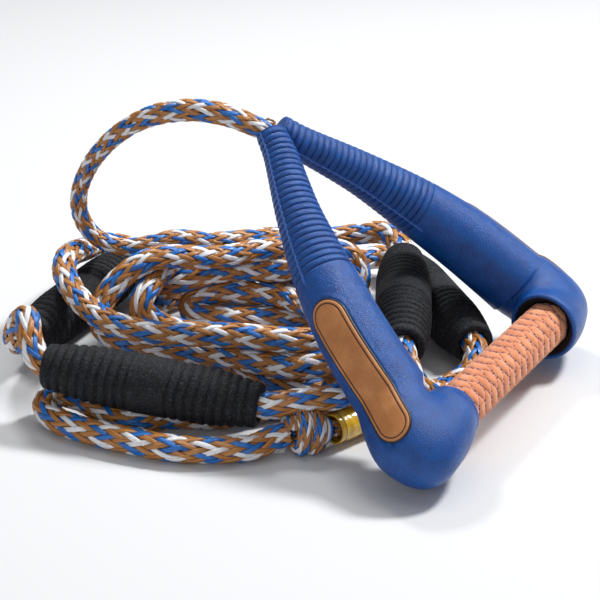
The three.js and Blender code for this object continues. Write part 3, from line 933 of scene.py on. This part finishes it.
def make_badge(side, name, rims, materials, looks):
    """A stadium plate from rims of (inset, height); looks says each band's material."""
    turn = np.linspace(-math.pi / 2, math.pi / 2, 25)
    run = np.linspace(-1, 1, 61)[1:-1]
    points = []
    for inset, height in rims:
        r = max(BADGE_HALF - inset, 0.02)
        xs = np.concatenate([
            BADGE_STRAIGHT + r * np.cos(turn), -run * BADGE_STRAIGHT,
            -BADGE_STRAIGHT - r * np.cos(turn), run * BADGE_STRAIGHT,
        ])
        across = np.concatenate([
            r * np.sin(turn), np.full(len(run), r), r * np.sin(turn[::-1]), np.full(len(run), -r),
        ])
        x, y, z = badge_point(side, BADGE_MIDDLE + xs, across, height)
        points.append(handle_point(x, side * y, z))
    points = np.array(points)
    sides = points.shape[1]
    faces = grid_faces(len(rims), sides)
    if side < 0:
        faces = faces[:, ::-1]
    return make_mesh(name, points, faces, materials, np.repeat(looks, sides))


BADGE_RIMS = (
    (0.1, -2.6), (0.0, 0.2), (0.12, 0.75), (0.5, 1.05), (1.2, 1.15), (1.75, 1.05), (1.95, 0.65),
    (2.25, 0.55), (2.55, 0.65), (2.75, 0.95), (3.3, 1.0), (5.5, 1.0), (8.0, 1.0), (BADGE_HALF, 1.0),
)
BADGE_LOOKS = (0,) * 5 + (1,) * 4 + (0,) * 4
# a black ring in the pocket round the badge: painted shadow for the gap between badge and arm
SHADOW_GAP_RIMS = (
    (-1.15, -2.4), (-1.1, -0.25), (-0.8, 0.05), (-0.3, 0.1), (0.1, 0.0), (0.4, -1.0),
)
SHADOW_GAP_LOOKS = (0,) * 5

for side, which in ((-1, "left"), (1, "right")):
    arm = make_arm(side, which + "_arm_skin")
    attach(arm, "handle")
    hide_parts(which + "_arm")
    plate = make_badge(
        side, which + "_badge_plate", BADGE_RIMS, [LEATHER, GROOVE_THREAD], BADGE_LOOKS
    )
    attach(plate, "handle")
    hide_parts(which + "_badge")
    # the black ring is painted shadow in the gap round the badge
    shadow_gap_fill = make_badge(
        side, which + "_badge_gasket", SHADOW_GAP_RIMS, [BLACK_NYLON], SHADOW_GAP_LOOKS
    )
    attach(shadow_gap_fill, "handle")

# ---------- the quilted grip
GRIP_HALF = 86.0
GRIP_R = 15.8
SEAM_PITCH = 5.2
SEAM_WAVE = 2.15
PUFFS_ROUND = 4
SEAM_COUNT = int(2 * GRIP_HALF / SEAM_PITCH) + 1
PUFF_HEIGHT = 1.9
STITCH_R = GRIP_R - 0.40
THREAD_R = 0.48
DASHES_PER_PUFF = 12
DASH_FROM_TO = (0.18, 0.82)
DASH_SHARES = (0.35, 0.9, 1, 0.9, 0.35)     # of the thread's radius, from end to end
DASH_SIDES = 6
STITCH_LOOKS = (0, 1, 0, 0, 1)


def seam_along(k, around):
    """Where wavy seam k is along the bar, at a place round it from 0 to 1."""
    way = 1 if k % 2 else -1
    return k * SEAM_PITCH - GRIP_HALF + way * SEAM_WAVE * np.cos(2 * np.pi * PUFFS_ROUND * around)


def bar_point(along, around, radius):
    angle = around * 2 * math.pi
    x = BAR_CENTRE[0] + radius * np.cos(angle)
    z = BAR_CENTRE[1] + radius * np.sin(angle)
    return handle_point(x, along, z)


def make_wrap():
    """Suede quilted into staggered lens-shaped puffs between the wavy seams."""
    steps, sides = 440, 200
    along = np.linspace(-GRIP_HALF, GRIP_HALF, steps)[:, None]
    around = (np.arange(sides) / sides)[None]
    height = np.zeros((steps, sides))
    for k in range(-1, SEAM_COUNT + 1):
        low, high = seam_along(k, around), seam_along(k + 1, around)
        t = (along - low) / (high - low)
        puff = np.clip(1 - np.abs(2 * t - 1) ** 2.2, 0, 1) ** 0.65
        full = np.clip((high - low) / (1.3 * SEAM_PITCH), 0.25, 1)
        height = np.where((t >= 0) & (t < 1), PUFF_HEIGHT * puff * full, height)
    ends = smooth((GRIP_HALF - np.abs(along)) / 2.0)
    points = bar_point(along, around, GRIP_R - 1.0 + height * ends)
    faces = grid_faces(steps, sides)
    return make_mesh("grip_quilt", points, faces[:, ::-1], [SUEDE])


def dash(points, normals):
    """A short rounded stitch along a few points."""
    side = unit(np.cross(unit(np.gradient(points, axis=0)), normals))
    cos, sin = circle(DASH_SIDES)
    size = THREAD_R * MM * np.array(DASH_SHARES)[:, None]
    return tube(points, side, normals, cos * size, sin * size), grid_faces(len(points), DASH_SIDES)


def make_stitches():
    """Dashes of thread along every seam."""
    parts, looks = [], []
    per_seam = PUFFS_ROUND * DASHES_PER_PUFF
    for k in range(1, SEAM_COUNT):
        for j in range(per_seam):
            around = (j + np.linspace(*DASH_FROM_TO, len(DASH_SHARES))) / per_seam
            along = seam_along(k, around)
            out = unit(bar_point(along, around, 2.0) - bar_point(along, around, 1.0))
            parts.append(dash(bar_point(along, around, STITCH_R), out))
            looks.append(STITCH_LOOKS[(j + 2 * k) % len(STITCH_LOOKS)])
    look = np.repeat(looks, [len(faces) for _, faces in parts])
    return make_mesh("grip_stitches", *joined(parts), [STITCH_DARK, STITCH_PALE], look)


wrap = make_wrap()
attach(wrap, "grip")
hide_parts("grip_wrap")
stitches = make_stitches()
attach(stitches, "grip")

# ---------- floats
FLOAT_HALF = FLOAT_LENGTH / MM / 2
RIB_PITCH = 6.9
BAND_HALF = 14.5
RIBS_EACH_END = 8
END_R, SWELL, SWELL_SHARE = 15.4, 5.2, 0.62
RIB_GROOVE, BAND_GROOVE = 2.2, 1.5
FACE_ROWS = ((3, 9.6), (1.2, 9.9), (0.2, 11.0), (0, 12.6), (0.3, 14.1), (1.0, 14.9))


def turned_piece(name, a, b, profile, sides, materials, looks=None, sway=0.0, seed=0):
    """A lathed piece about the line from a to b; the profile is (distance along, radius)."""
    rng = np.random.default_rng(seed)
    axis, side, up = axes(a, b)
    turn = np.linspace(0, 2 * np.pi, sides, endpoint=False)
    along, radius = np.array(profile).T[..., None]
    shift = sum(
        rng.uniform(0.3, 1) * np.sin((k + 1) * turn[None] + along * 0.05 + rng.uniform(0, 6.3))
        for k in range(3)
    )
    edge = smooth((FLOAT_HALF - np.abs(along)) / 8)
    along = along + sway * shift * edge
    radius = radius + 0.12 * sway * shift * edge
    middle = np.add(a, b) / 2
    points = middle + axis * along[..., None] + spokes(side, up, turn) * radius[..., None]
    faces = grid_faces(len(profile), sides)
    return make_mesh(name, points * MM, faces[:, ::-1], materials, looks)


def float_profile():
    """A barrel with rounded ribs, a plain band in the middle and plain end caps."""
    grooves = BAND_HALF + RIB_PITCH * np.arange(RIBS_EACH_END + 1)
    rows = [(inset - FLOAT_HALF, r) for inset, r in FACE_ROWS]
    for x in np.arange(1.8 - FLOAT_HALF, FLOAT_HALF - 1.79, 0.52):
        swell = math.sin(min(1.0, (1 - abs(x) / FLOAT_HALF) / SWELL_SHARE) * math.pi / 2)
        near = np.min(np.abs(grooves - abs(x)))
        if grooves[0] <= abs(x) <= grooves[-1]:
            dip = RIB_GROOVE * abs(2 * near / RIB_PITCH - 1) ** 2.4
        else:
            dip = BAND_GROOVE * math.exp(-((near / 0.9) ** 2))
        rows.append((x, END_R + SWELL * swell - dip))
    rows += [(FLOAT_HALF - inset, r) for inset, r in reversed(FACE_ROWS)]
    return rows


for k, (name, (a, b)) in enumerate(FLOATS.items()):
    barrel = turned_piece(
        name + "_barrel", a, b, float_profile(), 96, [FLOAT_FOAM], sway=0.32, seed=k + 3
    )
    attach(barrel, name)
    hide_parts(name)

# ---------- knot, sleeve and loop
KNOT_TURNS = 2.75
KNOT_ROPE_D = 0.0125
KNOT_LOWEST = 6.6
YARN_SIDES = 8
SLEEVE_R = 10.6
SLEEVE_LIPS = ((1.5, 9.2), (0.1, 9.5), (0, 10.2), (0.3, 10.65))
SLEEVE_SIDES = 64
INK_FROM_END, INK_HALF = 3.2, 0.5


def make_knot_wraps():
    """The rope wound tightly round itself, about the knot's line."""
    axis, side, up = axes(*KNOT)
    length = np.linalg.norm(np.subtract(*KNOT))
    t = np.linspace(0, 1, 200)
    turn = 2 * np.pi * (KNOT_TURNS * t + 0.1)
    reach = 4.5 + 7.0 * np.sin(np.pi * np.clip(t, 0.02, 0.98)) ** 0.5
    along = length * (0.12 + 0.70 * t) + 1.8 * np.sin(turn + 0.8)
    line = KNOT[0] + axis * along[:, None] + spokes(side, up, turn) * reach[:, None]
    line[:, 2] = np.maximum(line[:, 2], KNOT_LOWEST)
    path = resample(line * MM, 0.0016)
    diameter = np.full(len(path), KNOT_ROPE_D)
    turns = arc_lengths(path) / (PITCH_IN_DIAMETERS * KNOT_ROPE_D)
    return braid("knot_wraps", path, diameter, turns, 61, line_frames(path))


def yarn_tubes(name, parts, looks, reach, materials):
    """Yarns as one piece: a look for each yarn, and how far the lay runs over each face."""
    points, faces = joined(parts)
    lay = np.tile([(0, 0), (1, 0), (1, reach), (0, reach)], (len(faces), 1))
    look = np.repeat(looks, [len(f) for _, f in parts])
    return make_mesh(name, points, faces, materials, look, lay)


def make_whipping():
    """Yarns bound round the loop's throat, beside the knot."""
    start = KNOT[0] + np.subtract(KNOT[1], KNOT[0]) * 0.80
    axis, side, up = axes(start, SLEEVE[0])
    cos, sin = circle(YARN_SIDES)
    turn = np.linspace(0, 2 * np.pi, 48, endpoint=False)
    parts = []
    for k in range(3):
        centre = start + axis * (1.0 + 1.75 * k)
        radius = 8.6 - 0.16 * k + 0.3 * math.sin(k * 2.3)
        tilt = 1.6 * np.sin(turn + 0.4)
        line = centre + axis * tilt[:, None] + spokes(side, up, turn) * radius
        tangent = unit(np.roll(line, -1, 0) - np.roll(line, 1, 0))
        out = unit(line - centre)
        ring = tube(line, np.cross(tangent, out), out, cos * 1.15, sin * 0.8)
        parts.append((ring * MM, grid_faces(len(turn), YARN_SIDES, closed=True)))
    return yarn_tubes("knot_whipping", parts, (0, 1, 2), 4, [TAN_YARN, WHITE_YARN, BLUE_YARN])


def sleeve_profile():
    """A shrunk film tube that is a little wider at its lips and ripples along its length."""
    half = np.linalg.norm(np.subtract(*SLEEVE)) / 2
    rows = [(-half + inset, r) for inset, r in SLEEVE_LIPS]
    for x in np.linspace(-half + 1.0, half - 1.0, 70):
        rows.append((x, SLEEVE_R + 0.16 * math.sin(x * 0.9) + 0.12 * math.sin(x * 0.37 + 1)))
    return rows + [(half - inset, r) for inset, r in reversed(SLEEVE_LIPS)]


def make_sleeve():
    profile = sleeve_profile()
    ink_at = profile[-3][0] - INK_FROM_END
    inked = [abs(abs(x) - ink_at) < INK_HALF for x, _ in profile[:-1]]
    return turned_piece(
        "loop_sleeve", *SLEEVE, profile, SLEEVE_SIDES, [SLEEVE_FILM, BLACK_INK],
        np.repeat(inked, SLEEVE_SIDES),
    )


knot = make_knot_wraps()
whipping = make_whipping()
film = make_sleeve()
for piece, slot_name in ((knot, "rope"), (whipping, "rope"), (film, "sleeve")):
    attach(piece, "rope")
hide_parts("stopper_knot")
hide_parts("label_sleeve")

loop_line = resample(dense_spline(np.array(LOOP) * MM, SPLINE_STEPS), 0.002)
loop_s = arc_lengths(loop_line)
loop_turns = loop_s / (PITCH_IN_DIAMETERS * LOOP_D)
loop = braid(
    "boat_loop_rope", loop_line, np.full(len(loop_line), LOOP_D), loop_turns, 71,
    line_frames(loop_line),
)
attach(loop, "rope")
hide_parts("boat_loop")

# ---------- loose yarns at the apex
YARN_ROOT = (-101.0, -3.0, 183.0)


def make_yarn_ends():
    """Ends and small loops of yarn that stand out where the rope meets the handle."""
    rng = np.random.default_rng(5)
    cos, sin = circle(YARN_SIDES)
    t = np.linspace(0, 1, 14)[:, None]
    size = 1 - 0.6 * t ** 3
    parts = []
    for _ in range(9):
        lean = np.array((rng.uniform(-8, 2), rng.uniform(-7, 6), rng.uniform(3, 8)))
        curl = np.array((rng.uniform(-6, 4), rng.uniform(-4, 4), rng.uniform(-3, 2)))
        start = YARN_ROOT + np.array((rng.uniform(-6, 1), rng.uniform(-5, 5), rng.uniform(0, 2)))
        line = start + lean * t + curl * np.sin(t * math.pi)
        wide, out = line_frames(line)
        ring = tube(line, wide, out, cos * 1.3 * size, sin * 0.65 * size)
        parts.append((ring * MM, grid_faces(len(t), YARN_SIDES)))
    looks = np.arange(len(parts)) % 2
    return yarn_tubes("apex_yarn_ends", parts, looks, 3, [TAN_YARN, WHITE_YARN])


yarn_ends = make_yarn_ends()
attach(yarn_ends, "rope")

# ---------- pieces that keep their CAD shape
ALLOY = plain_material("tube_alloy", (0.42, 0.43, 0.45), 0.35, metallic=1.0, spread=0.1)
BRIDLE = plain_material("bridle_cord", (0.03, 0.10, 0.36), 0.6, grain=1100)
KEPT = {"handle_tube": ALLOY, "bridle_rope": BRIDLE, "bridle_eye": BRIDLE}
for name in (
    "grip_foam", "left_socket_liner", "right_socket_liner", "left_tube_plug", "right_tube_plug",
):
    KEPT[name] = BLACK_NYLON
for name, material in KEPT.items():
    nodes[name].data.materials.clear()
    nodes[name].data.materials.append(material)

# ---------- what each rope really is: a diameter and the pieces on it for each run, listed; the loop only looks each run up
ON_ROPES = {
    "rope_lead_run": (LEAD_WIDEST, ["float_3_barrel", "apex_yarn_ends"]),
    "rope_link_run": (ROPE_D, ["float_4_barrel"]),
    "rope_heap_low": (ROPE_D, []),
    "rope_heap_top": (ROPE_D, ["float_2_barrel"]),
    "rope_bulge_run": (ROPE_D, ["float_1_barrel"]),
    "rope_front_run": (ROPE_D, []),
    "rope_tail_run": (ROPE_D, ["knot_wraps", "knot_whipping", "loop_sleeve"]),
}
for name, (diameter, pieces) in ON_ROPES.items():
    piece, route = ROPES[name]

# ---------- floor
def make_floor():
    corners = [(x * FLOOR_HALF, y * FLOOR_HALF, 0) for x, y in ((-1, -1), (1, -1), (1, 1), (-1, 1))]
    material, _ = new_material("floor", FLOOR_COLOUR, roughness=0.55)
    floor = make_mesh("floor", corners, np.array([[0, 1, 2, 3]]), [material])
    floor.location.z = -FLOOR_DROP


make_camera()
make_floor()
make_lights()

bpy.context.view_layer.update()
